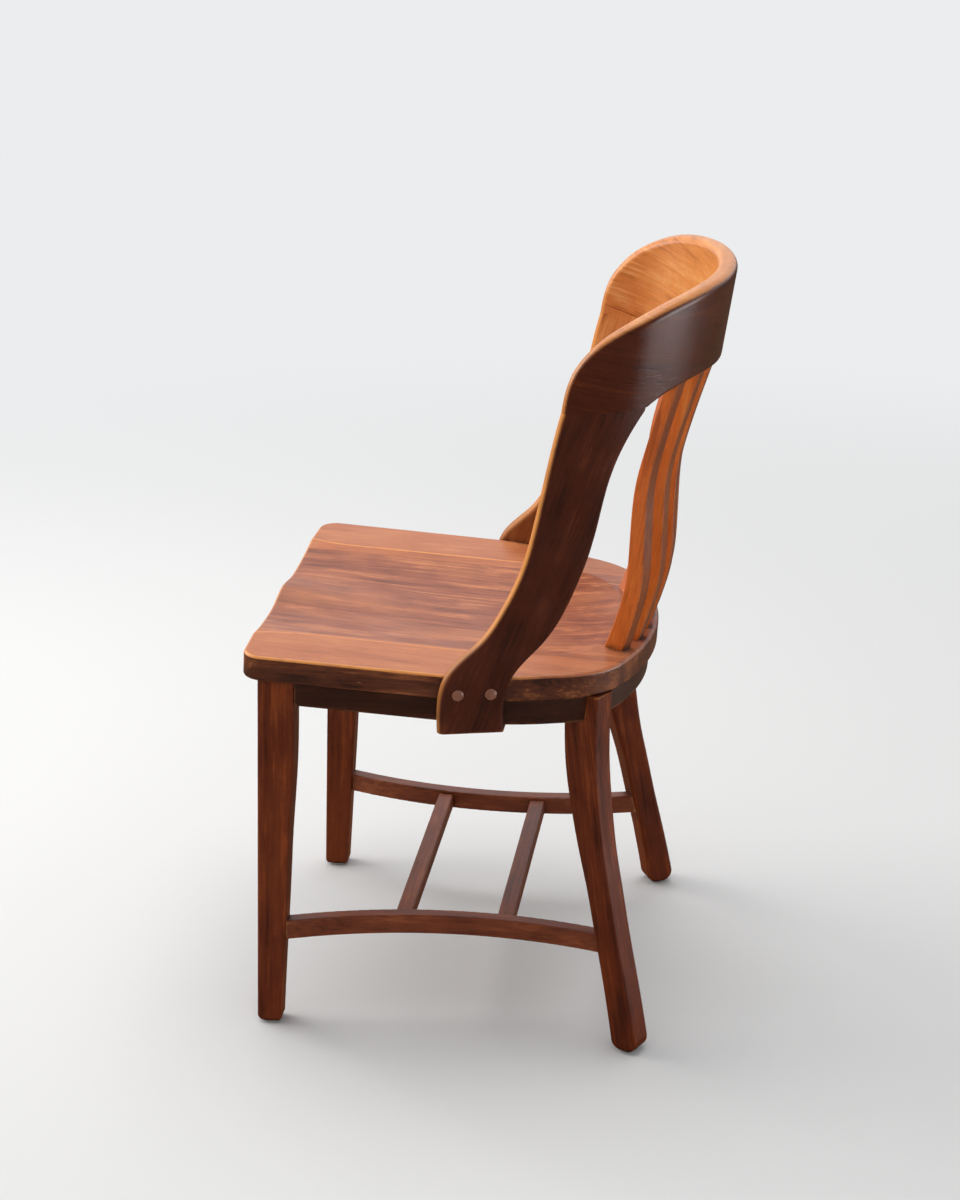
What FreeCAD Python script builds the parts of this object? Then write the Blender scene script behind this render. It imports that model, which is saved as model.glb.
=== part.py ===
import FreeCAD
import Part
import math
import os

from FreeCAD import Vector

# A four-legged wooden side chair: dished seat on an apron, bent hoop back in three pieces with
# six fanned slats, raked front legs, swept rear legs and an H of low stretchers.
# X runs across the chair, +Y points to its back, +Z is up, and the floor is at Z = 0.

# Overall sizes, in millimetres and degrees
chair_depth = 522.0
seat_front_height = 464.7
seat_front_width = 458.8
seat_depth = 443.8
back_rise = 398.8
post_foot_width = 496.0

# Seat
seat_slope = 3.18
seat_thickness = 28.8
seat_side_taper = 0.9
seat_front_radius = 23.0
seat_front_bow = 4.0
seat_shoulder_angle = 22.6
seat_shoulder_inset = 17.2
seat_shoulder_setback = 304.0
seat_shoulder_radius = 288.0
seat_corner_radius = 100.0
seat_back_radius = 330.0
seat_edge_radius = 4.5
seat_lower_edge_radius = 2.5
seat_joints = (-136.0, -44.0, 49.0, 139.0)

# Dish in the seat, measured back from the front edge
dish_half_width = 150.0
dish_flare = 12.0
dish_flare_length = 60.0
dish_back_start = 240.0
dish_back_end = 396.0
dish_depth_front = 11.0
dish_depth_back = 13.5
dish_roundness = 3.2
dish_bowl_power = 3.0
pommel_height = 8.5
pommel_half_width = 38.0
pommel_length = 190.0
dish_columns = 25
dish_rows = 27
dish_margin = 10.0

# Apron under the seat
apron_height = 29.5
apron_thickness = 18.0
apron_side_setback = 10.4
apron_corner_setback = 3.0
apron_back_setback = 8.0
side_apron_end = 378.0
apron_end_radius = 5.0
front_apron_setback = 26.0
block_height = 20.0
front_block_distance = 225.0
back_block_distance = 190.0

# Front legs
front_leg_x = 202.5
front_leg_foot_spread = 1.0
front_leg_top_width = 33.0
front_leg_foot_width = 26.0
front_leg_top_depth = 42.6
front_leg_foot_depth = 28.8
front_leg_setback = 19.0
front_leg_foot_rake = 15.2
front_leg_corner_radius = 9.0
leg_edge_radius = 3.0
foot_radius = 6.0
# Height up the front leg as a share, and how much of the change in its depth is reached there
front_leg_swell = (
    (0.0, 0.0),
    (0.2, 0.25),
    (0.4, 0.51),
    (0.5, 0.62),
    (0.6, 0.8),
    (0.7, 0.96),
    (0.8, 1.0),
    (1.0, 1.0),
)

# Rear legs: a rectangular section turned in plan, swept back and out towards the foot
rear_leg_x = 151.0
rear_leg_setback = 381.5
rear_leg_turn = 28.0
rear_leg_top_thickness = 34.0
rear_leg_foot_thickness = 30.5
rear_leg_kick = 79.5
rear_leg_spread = 29.0
rear_leg_spread_bow = 3.5
rear_leg_radius = 5.0
rear_foot_radius = 13.0
# Height up the rear leg as a share, how much of the kick its middle line has there, and its depth
rear_leg_sweep = (
    (0.0, 1.0, 34.0),
    (0.1, 0.88, 33.0),
    (0.2, 0.74, 31.8),
    (0.3, 0.59, 31.3),
    (0.4, 0.445, 31.8),
    (0.5, 0.285, 34.5),
    (0.6, 0.155, 38.5),
    (0.7, 0.05, 41.6),
    (0.8, 0.0, 43.0),
    (1.0, 0.0, 43.0),
)

# Stretchers
side_stretcher_top = 131.5
side_stretcher_width = 18.0
side_stretcher_height = 23.0
side_stretcher_front_x = 207.5
side_stretcher_middle_x = 174.0
side_stretcher_back_x = 195.5
side_stretcher_front_setback = 54.0
side_stretcher_middle_setback = 235.0
side_stretcher_back_setback = 403.0
cross_stretcher_top = 127.5
cross_stretcher_width = 19.0
cross_stretcher_height = 18.0
cross_stretcher_setbacks = (169.0, 286.5)
stretcher_edge_radius = 2.5
tenon_length = 14.0
tenon_shoulder = 4.0

# Hoop back: a band bent in plan, leaning back, cut to shape from the side
hoop_lean = 8.4
hoop_thickness = 22.0
hoop_side_angle = 14.0
hoop_corner_radius = 110.0
hoop_back_radius = 300.0
hoop_reference_height = 430.0
hoop_front_radius = 8.0
hoop_rear_radius = 3.0
hoop_arm_run = 300.0
hoop_spare = 20.0
hoop_long_edge = 26.0
post_foot_setback = 229.0
post_bottom = 391.0
crest_joint_rise = 285.3

# Side view of the hoop: distance behind the seat's front edge, and height above the seat's front
# edge on a back of the drawn rise. Heights above the seat stretch with back_rise.
drawn_back_rise = 398.8
post_front_edge = (
    (221.5, -73.7),
    (222.5, -35.0),
    (228.0, -13.5),
    (245.5, 9.5),
    (267.0, 30.5),
    (289.0, 64.5),
    (309.5, 110.0),
    (324.0, 164.5),
    (334.0, 212.0),
    (343.5, 256.0),
)
hoop_top_edge = (
    (351.0, 285.3),
    (355.0, 307.0),
    (361.5, 325.0),
    (373.0, 342.0),
    (392.0, 360.5),
    (417.5, 376.0),
    (448.0, 389.0),
    (480.0, 396.5),
    (505.0, 398.8),
    (530.0, 396.5),
)
post_rear_edge = (
    (293.0, -73.7),
    (295.0, -30.0),
    (303.0, -9.0),
    (334.0, 28.0),
    (352.0, 55.0),
    (369.0, 93.0),
    (382.0, 130.0),
    (394.0, 182.0),
    (407.5, 229.0),
    (421.5, 259.0),
    (438.0, 285.3),
)
crest_lower_edge = (
    (438.0, 285.3),
    (448.0, 291.5),
    (461.5, 297.0),
    (478.0, 299.6),
    (493.0, 298.8),
    (505.0, 293.5),
    (530.0, 281.0),
)

# Slats
slat_count = 6
slat_width = 18.0
slat_pitch_seat = 39.2
slat_pitch_crest = 50.5
slat_foot_setback = 435.1
slat_head_setback = 497.0
slat_foot_curve = 231.0
slat_head_curve = 270.0
slat_edge_radius = 2.0
slat_foot_rise = -23.7
slat_head_rise = 297.3
slat_seat_tenon = 13.0
slat_crest_tenon = 14.0
# Height between the slat's foot and its head as a share, bulge of the rear face to the rear, depth
slat_shape = (
    (0.0, 0.0, 25.0),
    (0.14, 6.2, 22.5),
    (0.25, 7.9, 21.5),
    (0.37, 3.2, 20.0),
    (0.5, -3.8, 18.5),
    (0.62, -8.4, 16.5),
    (0.75, -6.6, 15.0),
    (0.87, -2.4, 14.5),
    (1.0, 3.2, 14.5),
)

# Fixings
post_screw_head_radius = 6.4
post_screw_head_height = 3.4
post_screw_shank_radius = 3.0
post_screw_bite = 34.0
post_screw_places = (17.1, 52.9)
post_screw_height = 436.5
dowel_radius = 5.0
dowel_length = 44.0
dowel_angles = (16.0, 37.0)
block_screw_radius = 2.2
block_screw_head_radius = 4.2
block_screw_bite = 16.0
glide_radius = 10.5
glide_flat_radius = 9.0
glide_height = 2.0
glide_nail_radius = 1.2
glide_nail_length = 16.0

slope = math.radians(seat_slope)
lean = math.radians(hoop_lean)
front_y = -chair_depth / 2 + seat_thickness * math.sin(slope)
back_y = chair_depth / 2
top_height = seat_front_height + back_rise
reach = 400.0
edge_gap = 0.5
hair = 0.001


def bspline_edge(points):
    """Edge that runs smoothly through the points."""
    curve = Part.BSplineCurve()
    curve.interpolate(points)
    return curve.toShape()


def line_edge(start, end):
    return Part.LineSegment(start, end).toShape()


def arc_edge(start, middle, end):
    return Part.Arc(start, middle, end).toShape()


def prism(edges, direction):
    """Solid swept from the closed outline along the direction."""
    return Part.Face(Part.Wire(edges)).extrude(direction)


def polygon_prism(points, direction):
    return Part.Face(Part.makePolygon(list(points) + [points[0]])).extrude(direction)


def turned(points, place, axis):
    """Solid of revolution: the points are (radius, height) pairs, the first and last on the axis."""
    outline = [Vector(radius, 0, height) for radius, height in points]
    face = Part.Face(Part.makePolygon(outline + [outline[0]]))
    solid = face.revolve(Vector(0, 0, 0), Vector(0, 0, 1), 360)
    solid.Placement = FreeCAD.Placement(place, FreeCAD.Rotation(Vector(0, 0, 1), axis))
    return solid


def mirrored(shape):
    return shape.mirror(Vector(0, 0, 0), Vector(1, 0, 0))


def main_solid(shape):
    """Largest solid of a shape, without the offcuts."""
    largest = shape.Solids[0]
    for solid in shape.Solids[1:]:
        if solid.Volume > largest.Volume:
            largest = solid
    return largest


def cut_by(shape, cutters):
    for cutter in cutters:
        shape = shape.cut(cutter)
    return main_solid(shape)


def tilted(shape):
    """Moves a shape drawn on the seat's top plane, front edge at Y = 0, to its place."""
    placed = shape.copy()
    placed.rotate(Vector(0, 0, 0), Vector(1, 0, 0), -seat_slope)
    placed.translate(Vector(0, front_y, seat_front_height))
    return placed


def rise(height):
    """Height above the floor of a drawn height above the seat's front edge."""
    if height <= 0:
        return seat_front_height + height
    return seat_front_height + height * back_rise / drawn_back_rise


def corner_centre(angle, offset, back_centre, back_radius, radius):
    """Centre of the arc that joins a side line to the back arc.

    The side line is x cos(angle) + y sin(angle) = offset, and the back arc has its centre on
    the Y axis. The arc touches both from inside.
    """
    across = Vector(math.cos(angle), math.sin(angle), 0)
    along = Vector(-math.sin(angle), math.cos(angle), 0)
    near = across * (offset - radius) - Vector(0, back_centre, 0)
    half = near.dot(along)
    length = -half + math.sqrt(half ** 2 - near.dot(near) + (back_radius - radius) ** 2)
    return across * (offset - radius) + along * length


def flipped(point):
    return Vector(-point.x, point.y, point.z)


def plan_way(angle):
    """Horizontal unit vector at an angle from +X."""
    return Vector(math.cos(angle), math.sin(angle), 0)


def seat_outline(side_setback, corner_setback, back_setback):
    """Outline of the seat, or of a line set back inside it, on the seat's top plane.

    From front to back: a side line, a shoulder arc, a short slanted line, a corner arc and the
    back arc, then the mirror image. The outline is open at the front, between the two points
    that are returned with it.
    """
    taper = math.radians(seat_side_taper)
    angle = math.radians(seat_shoulder_angle)
    side_way = plan_way(taper + math.pi / 2)
    slant_way = plan_way(angle + math.pi / 2)
    start = Vector(seat_front_width / 2 - side_setback, seat_front_bow, 0)
    shoulder = Vector(seat_front_width / 2 - seat_shoulder_inset, seat_shoulder_setback, 0)
    offset = shoulder.dot(plan_way(angle)) - corner_setback
    run = (offset - start.dot(plan_way(angle))) / side_way.dot(plan_way(angle))
    meet = start + side_way * run
    half_turn = (angle - taper) / 2
    tangent = seat_shoulder_radius * math.tan(half_turn)
    bulge = seat_shoulder_radius * (1 / math.cos(half_turn) - 1)
    shoulder_start = meet - side_way * tangent
    shoulder_end = meet + slant_way * tangent
    shoulder_middle = meet - plan_way((angle + taper) / 2) * bulge
    back_radius = seat_back_radius - back_setback
    back_centre = seat_depth - seat_back_radius
    corner_radius = seat_corner_radius - corner_setback
    centre = corner_centre(angle, offset, back_centre, back_radius, corner_radius)
    back_angle = math.atan2(centre.y - back_centre, centre.x)
    corner_start = centre + plan_way(angle) * corner_radius
    corner_middle = centre + plan_way((angle + back_angle) / 2) * corner_radius
    corner_end = centre + plan_way(back_angle) * corner_radius
    back = Vector(0, back_centre + back_radius, 0)
    edges = [
        line_edge(start, shoulder_start),
        arc_edge(shoulder_start, shoulder_middle, shoulder_end),
        line_edge(shoulder_end, corner_start),
        arc_edge(corner_start, corner_middle, corner_end),
        arc_edge(corner_end, back, flipped(corner_end)),
        arc_edge(flipped(corner_end), flipped(corner_middle), flipped(corner_start)),
        line_edge(flipped(corner_start), flipped(shoulder_end)),
        arc_edge(flipped(shoulder_end), flipped(shoulder_middle), flipped(shoulder_start)),
        line_edge(flipped(shoulder_start), flipped(start)),
    ]
    return edges, start


def dish_height(across, back):
    """Height of the dished surface over the flat rim; above zero it cuts nothing."""
    flare = max(0.0, 1 - back / dish_flare_length) ** 2
    half_width = dish_half_width + dish_flare * flare
    side = abs(across) / half_width
    behind = max(0.0, (back - dish_back_start) / (dish_back_end - dish_back_start))
    ratio = (side ** dish_roundness + behind ** dish_roundness) ** (1 / dish_roundness)
    blend = min(1.0, max(0.0, back / dish_back_start))
    depth = dish_depth_front + (dish_depth_back - dish_depth_front) * blend
    fade = max(0.0, 1 - back / pommel_length) ** 2
    pommel = pommel_height * math.exp(-(across / pommel_half_width) ** 2) * fade
    return depth * (ratio ** dish_bowl_power - 1) + pommel


def dish_cutter():
    """Solid over the dished surface."""
    width = seat_front_width + 2 * dish_margin
    length = seat_depth + 2 * dish_margin
    grid = []
    for column in range(dish_columns):
        across = column / (dish_columns - 1) * width - width / 2
        line = []
        for row in range(dish_rows):
            back = row / (dish_rows - 1) * length - dish_margin
            line.append(Vector(across, back, dish_height(across, back)))
        grid.append(line)
    surface = Part.BSplineSurface()
    surface.interpolate(grid)
    return surface.toShape().extrude(Vector(0, 0, reach))


def edges_near(shape, wire):
    """Long edges of the shape that run along a side-view line."""
    found = []
    for edge in shape.Edges:
        middle = edge.valueAt((edge.FirstParameter + edge.LastParameter) / 2)
        flat = Part.Vertex(Vector(0, middle.y, middle.z))
        if edge.Length > hoop_long_edge and wire.distToShape(flat)[0] < edge_gap:
            found.append(edge)
    return found


def seat_solid():
    edges, start = seat_outline(0, 0, 0)
    edges.append(arc_edge(flipped(start), Vector(0, 0, 0), start))
    slab = prism(edges, Vector(0, 0, -seat_thickness))
    corners = []
    for edge in slab.Edges:
        ends = edge.Vertexes
        upright = abs(ends[0].Z - ends[-1].Z) > seat_thickness / 2
        if upright and ends[0].Y < seat_front_radius:
            corners.append(edge)
    slab = slab.makeFillet(seat_front_radius, corners)
    lower = [edge for edge in slab.Edges if edge.BoundBox.ZMax < -seat_thickness + hair]
    slab = slab.makeFillet(seat_lower_edge_radius, lower)
    dished = main_solid(slab.cut(dish_cutter()))
    upper = []
    for edge in dished.Edges:
        faces = dished.ancestorsOfType(edge, Part.Face)
        tall = [face for face in faces if face.BoundBox.ZMin < -seat_thickness / 2]
        if len(tall) == 1 and edge.BoundBox.ZMin > -seat_thickness / 2:
            upper.append(edge)
    rounded = dished.makeFillet(seat_edge_radius, upper)
    return tilted(main_solid(rounded))


def under_seat():
    """Everything below the seat's lower face."""
    box = Part.makeBox(2 * reach, 3 * reach, 3 * reach, Vector(-reach, -reach, -3 * reach - seat_thickness))
    return tilted(box)


def front_leg_sharp():
    """Right front leg before its edges are rounded: a tapered post that rakes forward."""
    top = seat_front_height
    top_front = front_y + front_leg_setback
    foot_front = top_front - front_leg_foot_rake
    back_points = []
    for share, swell in front_leg_swell:
        depth = front_leg_foot_depth + (front_leg_top_depth - front_leg_foot_depth) * swell
        front = foot_front + (top_front - foot_front) * share
        back_points.append(Vector(0, front + depth, glide_height + share * (top - glide_height)))
    foot = Vector(0, foot_front, glide_height)
    head = Vector(0, top_front, top)
    side = prism(
        [
            line_edge(foot, head),
            line_edge(head, back_points[-1]),
            bspline_edge(back_points),
            line_edge(back_points[0], foot),
        ],
        Vector(reach, 0, 0),
    )
    foot_x = front_leg_x + front_leg_foot_spread
    front = polygon_prism(
        [
            Vector(foot_x - front_leg_foot_width / 2, -reach, glide_height),
            Vector(foot_x + front_leg_foot_width / 2, -reach, glide_height),
            Vector(front_leg_x + front_leg_top_width / 2, -reach, top),
            Vector(front_leg_x - front_leg_top_width / 2, -reach, top),
        ],
        Vector(0, 2 * reach, 0),
    )
    return main_solid(side.common(front))


def rear_leg_sharp():
    """Right rear leg before its edges are rounded.

    It is drawn from two sides about its top centre, with X through its thickness and Y through
    its depth, and then turned in plan.
    """
    top = seat_front_height
    height = top - glide_height
    front_points = []
    back_points = []
    for share, kick, depth in rear_leg_sweep:
        level = glide_height + share * height
        front_points.append(Vector(-reach, kick * rear_leg_kick - depth / 2, level))
        back_points.append(Vector(-reach, kick * rear_leg_kick + depth / 2, level))
    side = prism(
        [
            bspline_edge(front_points),
            line_edge(front_points[-1], back_points[-1]),
            bspline_edge(back_points),
            line_edge(back_points[0], front_points[0]),
        ],
        Vector(2 * reach, 0, 0),
    )
    side = side.makeFillet(rear_foot_radius, [edge for edge in foot_edges(side) if edge.Length > reach])
    foot_half = rear_leg_foot_thickness / 2
    top_half = rear_leg_top_thickness / 2
    middle_half = (foot_half + top_half) / 2
    middle_x = rear_leg_spread / 2 + rear_leg_spread_bow
    middle_z = glide_height + height / 2
    inner_foot = Vector(rear_leg_spread - foot_half, -reach, glide_height)
    outer_foot = Vector(rear_leg_spread + foot_half, -reach, glide_height)
    inner_top = Vector(-top_half, -reach, top)
    outer_top = Vector(top_half, -reach, top)
    face = prism(
        [
            arc_edge(inner_foot, Vector(middle_x - middle_half, -reach, middle_z), inner_top),
            line_edge(inner_top, outer_top),
            arc_edge(outer_top, Vector(middle_x + middle_half, -reach, middle_z), outer_foot),
            line_edge(outer_foot, inner_foot),
        ],
        Vector(0, 2 * reach, 0),
    )
    leg = main_solid(side.common(face))
    leg.rotate(Vector(0, 0, 0), Vector(0, 0, 1), -rear_leg_turn)
    leg.translate(Vector(rear_leg_x, front_y + rear_leg_setback, 0))
    return leg


def long_edges(shape, length):
    return [edge for edge in shape.Edges if edge.Length > length]


def upright_edges(shape):
    return [edge for edge in shape.Edges if edge.BoundBox.ZLength > seat_front_height / 2]


def foot_edges(leg):
    return [edge for edge in leg.Edges if edge.BoundBox.ZMax < glide_height + hair]


def outward(edge):
    """How far an edge lies towards the right front of the chair."""
    return edge.CenterOfMass.x - edge.CenterOfMass.y


def rounded_front_leg(leg):
    """Front leg with its outer front edge rounded most, then its other long edges and its foot."""
    edges = sorted(upright_edges(leg), key=outward)
    leg = leg.makeFillet(front_leg_corner_radius, edges[-1:])
    edges = sorted(upright_edges(leg), key=outward)
    leg = leg.makeFillet(leg_edge_radius, edges[:3])
    return main_solid(leg.makeFillet(foot_radius, foot_edges(leg)))


def rounded_rear_leg(leg):
    return main_solid(leg.makeFillet(rear_leg_radius, upright_edges(leg)))


def apron_ring(side_setback, corner_setback, back_setback):
    """Bent band under the seat, open at the front, in its place."""
    outer, outer_start = seat_outline(side_setback, corner_setback, back_setback)
    step = apron_thickness
    inner, inner_start = seat_outline(side_setback + step, corner_setback + step, back_setback + step)
    outline = outer + inner
    outline.append(line_edge(outer_start, inner_start))
    outline.append(line_edge(flipped(outer_start), flipped(inner_start)))
    wire = Part.Wire(Part.__sortEdges__(outline))
    band = Part.Face(wire).extrude(Vector(0, 0, -apron_height))
    band.translate(Vector(0, 0, -seat_thickness))
    return tilted(band)


def side_apron(front_leg):
    """Right side apron, from the back of the front leg to the rear leg, its end corner rounded."""
    ring = apron_ring(apron_side_setback, apron_corner_setback, apron_corner_setback)
    leg_middle = front_y + front_leg_setback + front_leg_top_depth / 2
    length = front_y + side_apron_end - leg_middle
    keep = Part.makeBox(reach, length, 2 * reach, Vector(0, leg_middle, 0))
    apron = main_solid(main_solid(ring.common(keep)).cut(front_leg))
    end_edges = []
    for edge in apron.Edges:
        at_end = edge.BoundBox.YMin > front_y + side_apron_end - 1
        level = edge.BoundBox.ZLength < 1
        low = edge.CenterOfMass.z < apron.CenterOfMass.z
        if at_end and level and low:
            end_edges.append(edge)
    return apron.makeFillet(apron_end_radius, end_edges)


def front_apron(front_leg):
    """Straight apron between the front legs."""
    half = front_leg_x
    box = Part.makeBox(2 * half, apron_thickness, apron_height, Vector(-half, front_apron_setback, 0))
    box.translate(Vector(0, 0, -seat_thickness - apron_height))
    return cut_by(tilted(box), [front_leg, mirrored(front_leg)])


def rear_apron(rear_leg):
    """Bent apron between the rear legs."""
    ring = apron_ring(apron_back_setback, apron_back_setback, apron_back_setback)
    keep = Part.makeBox(2 * rear_leg_x, reach, 2 * reach, Vector(-rear_leg_x, front_y + rear_leg_setback, 0))
    return cut_by(ring.common(keep), [rear_leg, mirrored(rear_leg)])


def corner_block(way, distance, cutters):
    """Glue block that fills an inside corner of the apron, past a line square to the way."""
    step = apron_thickness
    side = apron_side_setback + step
    inner, start = seat_outline(side, apron_corner_setback + step, apron_back_setback + step)
    inner.append(line_edge(flipped(start), start))
    block = prism(inner, Vector(0, 0, -block_height))
    block.translate(Vector(0, 0, -seat_thickness))
    front_end = front_apron_setback + step
    block = block.common(Part.makeBox(2 * reach, 2 * reach, reach, Vector(-reach, front_end, -reach / 2)))
    beyond = Part.makeBox(reach, 2 * reach, 2 * reach, Vector(distance, -reach, -reach))
    beyond.rotate(Vector(0, 0, 0), Vector(0, 0, 1), math.degrees(math.atan2(way.y, way.x)))
    centre = Vector(0, seat_depth / 2, 0)
    beyond.translate(centre)
    return cut_by(tilted(block.common(beyond)), cutters)


def side_stretcher_band(width, height, past):
    """Bent bar along one side, its outer face through three places and its ends run past them."""
    front = Vector(side_stretcher_front_x, front_y + side_stretcher_front_setback, 0)
    middle = Vector(side_stretcher_middle_x, front_y + side_stretcher_middle_setback, 0)
    back = Vector(side_stretcher_back_x, front_y + side_stretcher_back_setback, 0)
    curve = Part.Arc(front, middle, back).toShape().Curve
    centre = curve.Center
    radius = curve.Radius + side_stretcher_width / 2
    start = math.atan2(front.y - centre.y, front.x - centre.x)
    end = math.atan2(back.y - centre.y, back.x - centre.x)
    if start < 0:
        start += 2 * math.pi
    if end < 0:
        end += 2 * math.pi
    start += past / radius
    end -= past / radius
    outline = []
    inside = radius - width / 2
    outside = radius + width / 2
    for distance in (inside, outside):
        points = [centre + plan_way(angle) * distance for angle in (start, (start + end) / 2, end)]
        outline.append(arc_edge(*points))
    for angle in (start, end):
        outline.append(line_edge(centre + plan_way(angle) * inside, centre + plan_way(angle) * outside))
    wire = Part.Wire(Part.__sortEdges__(outline))
    band = Part.Face(wire).extrude(Vector(0, 0, height))
    middle_height = side_stretcher_top - side_stretcher_height / 2
    band.translate(Vector(0, 0, middle_height - height / 2))
    return band


def side_stretcher(legs):
    """Bent bar with a tenon at each end; the body stops at the legs and the tenons go in."""
    body = side_stretcher_band(side_stretcher_width, side_stretcher_height, tenon_length)
    body = body.makeFillet(stretcher_edge_radius, long_edges(body, seat_depth / 2))
    body = cut_by(body, legs)
    return main_solid(body.fuse(side_stretcher_tenons()))


def side_stretcher_tenons():
    width = side_stretcher_width - 2 * tenon_shoulder
    height = side_stretcher_height - 2 * tenon_shoulder
    return side_stretcher_band(width, height, tenon_length)


def cross_stretcher(setback, side_stretchers):
    """Straight bar between the side stretchers, with its ends let into them."""
    half = side_stretcher_middle_x
    width = cross_stretcher_width
    height = cross_stretcher_height
    low = cross_stretcher_top - height
    corner = Vector(-half, front_y + setback - width / 2, low)
    bar = Part.makeBox(2 * half, width, height, corner)
    bar = bar.makeFillet(stretcher_edge_radius, long_edges(bar, half))
    bar = cut_by(bar, side_stretchers)
    return main_solid(bar.fuse(cross_stretcher_tenons(setback)))


def cross_stretcher_tenons(setback):
    half = side_stretcher_middle_x - side_stretcher_width + tenon_length
    width = cross_stretcher_width - 2 * tenon_shoulder
    height = cross_stretcher_height - 2 * tenon_shoulder
    low = cross_stretcher_top - cross_stretcher_height / 2 - height / 2
    return Part.makeBox(2 * half, width, height, Vector(-half, front_y + setback - width / 2, low))


def hoop_offset(height):
    """Distance of the hoop's outer side line from the origin, at a height on the floor."""
    angle = math.radians(hoop_side_angle)
    foot = Vector(post_foot_width / 2, front_y + post_foot_setback, 0)
    shift = (height - hoop_reference_height) * math.tan(lean) * math.sin(angle)
    return foot.dot(plan_way(angle)) + shift


def hoop_corner():
    """Centre of the hoop's corner arcs and of its back arc, at the top of the back."""
    angle = math.radians(hoop_side_angle)
    back_centre = back_y - hoop_back_radius
    offset = hoop_offset(top_height)
    centre = corner_centre(angle, offset, back_centre, hoop_back_radius, hoop_corner_radius)
    return centre, Vector(0, back_centre, 0)


def hoop_line(inset):
    """One face of the band at the top of the back, as edges from the right end to the left."""
    angle = math.radians(hoop_side_angle)
    centre, back_centre = hoop_corner()
    back_angle = math.atan2(centre.y - back_centre.y, centre.x)
    radius = hoop_corner_radius - inset
    offset = hoop_offset(top_height) - inset
    end = plan_way(angle) * offset + plan_way(angle + math.pi / 2) * (centre.y - hoop_arm_run)
    touch = centre + plan_way(angle) * radius
    middle = centre + plan_way((angle + back_angle) / 2) * radius
    join = centre + plan_way(back_angle) * radius
    back = back_centre + Vector(0, hoop_back_radius - inset, 0)
    edges = [
        line_edge(end, touch),
        arc_edge(touch, middle, join),
        arc_edge(join, back, flipped(join)),
        arc_edge(flipped(join), flipped(middle), flipped(touch)),
        line_edge(flipped(touch), flipped(end)),
    ]
    return edges, end


def hoop_band():
    """The bent band from below the posts to above the crest, leaning back with its height."""
    outer, outer_end = hoop_line(0)
    inner, inner_end = hoop_line(hoop_thickness)
    outline = outer + inner
    outline.append(line_edge(outer_end, inner_end))
    outline.append(line_edge(flipped(outer_end), flipped(inner_end)))
    face = Part.Face(Part.Wire(Part.__sortEdges__(outline)))
    height = top_height - post_bottom + 2 * hoop_spare
    band = face.extrude(Vector(0, -height * math.tan(lean), -height))
    band.translate(Vector(0, hoop_spare * math.tan(lean), top_height + hoop_spare))
    return band


def side_points(pairs):
    return [Vector(-reach, front_y + back, rise(height)) for back, height in pairs]


def side_cut(front, back):
    """Side-view shape between two curves that run upwards, swept across the chair."""
    edges = [
        bspline_edge(front),
        line_edge(front[-1], back[-1]),
        bspline_edge(back),
        line_edge(back[0], front[0]),
    ]
    return prism(edges, Vector(2 * reach, 0, 0))


def post_sharp():
    """Right post before its edges are rounded."""
    shape = side_cut(side_points(post_front_edge + hoop_top_edge[:1]), side_points(post_rear_edge))
    right = Part.makeBox(reach, 3 * reach, 3 * reach)
    right.translate(Vector(0, -reach, 0))
    return main_solid(hoop_band().common(shape).common(right))


def crest_sharp():
    """Crest rail before its edges are rounded."""
    shape = side_cut(side_points(hoop_top_edge), side_points(crest_lower_edge))
    return main_solid(hoop_band().common(shape))


def side_line(pairs):
    """Side-view curve on the middle plane, to find the edges that follow it."""
    return bspline_edge([Vector(0, point.y, point.z) for point in side_points(pairs)])


def rounded_hoop_piece(piece, front_pairs, rear_pairs):
    """Rounds the edges that follow the front curve, and less those that follow the rear curve."""
    piece = piece.makeFillet(hoop_front_radius, edges_near(piece, side_line(front_pairs)))
    return main_solid(piece.makeFillet(hoop_rear_radius, edges_near(piece, side_line(rear_pairs))))


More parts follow.
